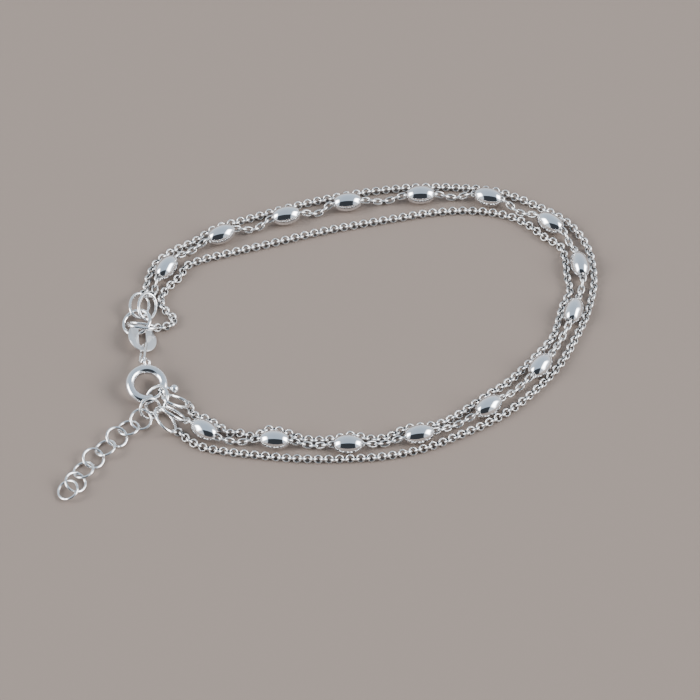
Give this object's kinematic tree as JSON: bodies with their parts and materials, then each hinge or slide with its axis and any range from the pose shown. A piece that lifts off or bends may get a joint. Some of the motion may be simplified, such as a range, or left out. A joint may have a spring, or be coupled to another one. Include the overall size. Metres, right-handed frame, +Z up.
{
  "type": "chain bracelet",
  "caption": "Silver multi-strand chain bracelet with barrel beads, a bolt-ring clasp on a plain tag, and an extension chain, closed and lying flat.",
  "frame": {"origin": "middle of the object's footprint on the surface it lies on", "axes": "+X along the wrist loop, away from the clasp; +Z up from the surface; +Y completes the frame"},
  "size_m": [0.0722, 0.053, 0.0031],
  "materials": {
    "chain_silver": "polished silver links",
    "bead_silver": "mirror-polished silver",
    "wire_silver": "polished silver wire",
    "clasp_silver": "polished silver tube",
    "bolt_silver": "polished silver",
    "tag_silver": "polished silver sheet"
  },
  "bodies": {
    "bracelet": {"chain_outer": "chain_silver", "chain_middle": "chain_silver", "chain_inner": "chain_silver", "bead_01": "bead_silver", "bead_02": "bead_silver", "bead_03": "bead_silver", "bead_04": "bead_silver", "bead_05": "bead_silver", "bead_06": "bead_silver", "bead_07": "bead_silver", "bead_08": "bead_silver", "bead_09": "bead_silver", "bead_10": "bead_silver", "bead_11": "bead_silver", "bead_12": "bead_silver", "bead_13": "bead_silver", "bead_14": "bead_silver", "bead_15": "bead_silver", "clasp_end_ring_outer": "wire_silver", "clasp_end_ring_middle": "wire_silver", "clasp_end_ring_inner": "wire_silver", "clasp_collector": "wire_silver", "tag_link": "tag_silver", "small_link": "wire_silver", "bolt_ring": "clasp_silver", "extension_collector": "wire_silver", "extension_end_ring_outer": "wire_silver", "extension_end_ring_middle": "wire_silver", "extension_end_ring_inner": "wire_silver", "extension_ring_1": "wire_silver", "extension_ring_2": "wire_silver", "extension_ring_3": "wire_silver", "extension_ring_4": "wire_silver", "extension_ring_5": "wire_silver", "extension_ring_6": "wire_silver", "extension_ring_7": "wire_silver", "extension_ring_8": "wire_silver", "extension_ring_9": "wire_silver"},
    "bolt": {"bolt": "bolt_silver"}
  },
  "joints": [
    {"name": "bolt_slide", "type": "hinge", "parent": "bracelet", "child": "bolt", "pos_m": [-0.02489, -0.00868, 0.0017], "axis": [0.1176, -0.1782, 0.9769], "range_deg": [0, 40], "stiffness_Nm_per_rad": 0.0002}
  ]
}
